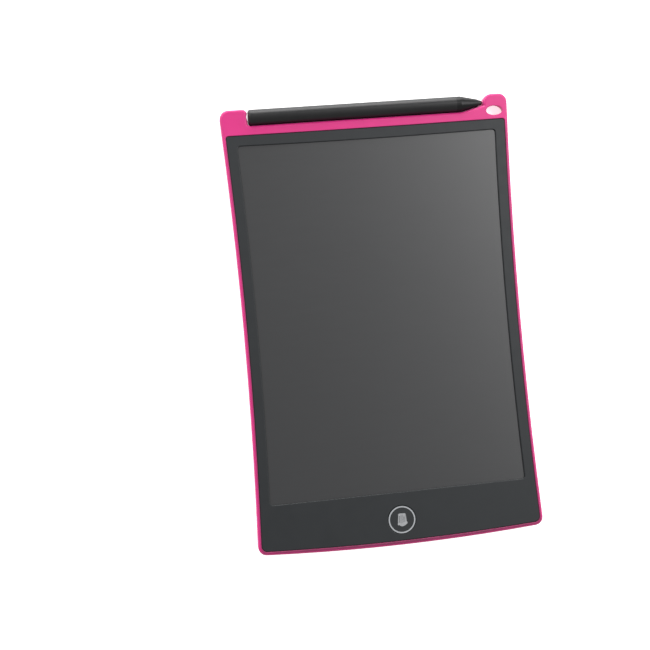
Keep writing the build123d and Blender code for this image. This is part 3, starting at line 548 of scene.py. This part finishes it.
def make_camera():
    """Camera at the photograph's angle."""
    camera = bpy.data.objects.new("camera", bpy.data.cameras.new("camera"))
    bpy.context.collection.objects.link(camera)
    camera.data.sensor_width = SENSOR_WIDTH
    camera.data.lens = FOCAL_LENGTH
    camera.data.clip_start = CAMERA_NEAR
    back = -Vector(CAMERA_LOOK).normalized()
    right = Vector(CAMERA_UP).cross(back).normalized()
    turn = Matrix((right, back.cross(right), back)).transposed().to_4x4()
    camera.matrix_world = Matrix.Translation(CAMERA_PLACE) @ turn
    bpy.context.scene.camera = camera


def make_light(name, place, target, width, height, watts):
    """A rectangular softbox that faces the target."""
    lamp = bpy.data.lights.new(name, "AREA")
    lamp.shape = "RECTANGLE"
    lamp.size = width
    lamp.size_y = height
    lamp.energy = watts
    light = bpy.data.objects.new(name, lamp)
    bpy.context.collection.objects.link(light)
    light.location = place
    light.rotation_mode = "QUATERNION"
    light.rotation_quaternion = (Vector(target) - Vector(place)).to_track_quat("-Z", "Y")


def floor_finish():
    """Pale matt floor with the faintest unevenness, glowing a little."""
    material, tree, shader, place = new_material("floor")
    cloud = remap(tree, noise(tree, place, FLOOR_PATCH), 0.0, 1.0)
    mottled(tree, shader, cloud, FLOOR_COLOR, FLOOR_DARKEST, 1.0)
    shader.inputs["Roughness"].default_value = FLOOR_ROUGHNESS
    shader.inputs["Emission Color"].default_value = (*SKY_COLOR, 1.0)
    shader.inputs["Emission Strength"].default_value = FLOOR_GLOW
    return material


def make_floor():
    """A plain pale floor just under the case."""
    mesh = bpy.data.meshes.new("floor")
    corners = [(-1, -1), (1, -1), (1, 1), (-1, 1)]
    mesh.from_pydata([(x * FLOOR_HALF, y * FLOOR_HALF, -FLOOR_DROP) for x, y in corners], [], [(0, 1, 2, 3)])
    floor = bpy.data.objects.new("floor", mesh)
    bpy.context.collection.objects.link(floor)
    mesh.materials.append(floor_finish())


def make_world():
    """Even white light from all round."""
    world = bpy.data.worlds.new("studio")
    world.use_nodes = True
    background = world.node_tree.nodes["Background"]
    background.inputs["Color"].default_value = (*SKY_COLOR, 1.0)
    background.inputs["Strength"].default_value = SKY_STRENGTH
    bpy.context.scene.world = world
    bpy.context.scene.view_settings.view_transform = "Standard"


def add_outline(curve, points):
    """Add a closed outline, its points in millimetres."""
    spline = curve.splines.new("POLY")
    spline.points.add(len(points) - 1)
    for point, (x, y) in zip(spline.points, points):
        point.co = (x / MILLIMETRES, y / MILLIMETRES, 0.0, 1.0)
    spline.use_cyclic_u = True


def make_pictogram(material):
    """A brush-head pictogram as a thin layer of ink on the key, with slits between its bristles."""
    curve = bpy.data.curves.new("button_pictogram", "CURVE")
    curve.dimensions = "2D"
    curve.fill_mode = "BOTH"
    curve.extrude = PRINT_THICKNESS / 2 - PRINT_EDGE
    curve.bevel_depth = PRINT_EDGE
    curve.bevel_resolution = PRINT_EDGE_STEPS
    add_outline(curve, BRUSH_HEAD)
    for x, width, low, high in BRISTLE_SLITS:
        lean = BRISTLE_LEAN * (high - low)
        add_outline(curve, [(x, low), (x + width, low), (x + width + lean, high), (x + lean, high)])
    pictogram = bpy.data.objects.new("button_pictogram", curve)
    bpy.context.collection.objects.link(pictogram)
    pictogram.location = (*BUTTON_MIDDLE, PRINT_FOOT + PRINT_THICKNESS / 2)
    curve.materials.append(material)
    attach(pictogram, "erase_key")


make_camera()
make_world()
make_floor()
for light_name, settings in LIGHTS.items():
    make_light(light_name, *settings)

set_material(shell_plastic("shell_plastic"), "rear_shell")
set_material(shell_plastic("door_plastic"), "battery_door")
set_material(bezel_plastic(), "front_bezel")
set_material(film(), "display_front_film")
set_material(button_plastic(), "erase_button")
make_pictogram(print_ink())
for material_name, (roughness, specular, nodes) in STYLUS_PLASTICS.items():
    set_material(stylus_plastic(material_name, roughness, specular), *nodes)
for material_name, (color, roughness, nodes) in METALS.items():
    set_material(metal(material_name, color, roughness), *nodes)
set_material(circuit_laminate(), "circuit_board")
for material_name, (color, roughness, nodes) in INNER_PARTS.items():
    set_material(moulded(material_name, color, roughness)[0], *nodes)
set_material(moulded("foam_tape", FOAM_BLACK, FOAM_ROUGHNESS, grain=FOAM_GRAIN)[0], "adhesive_frame")
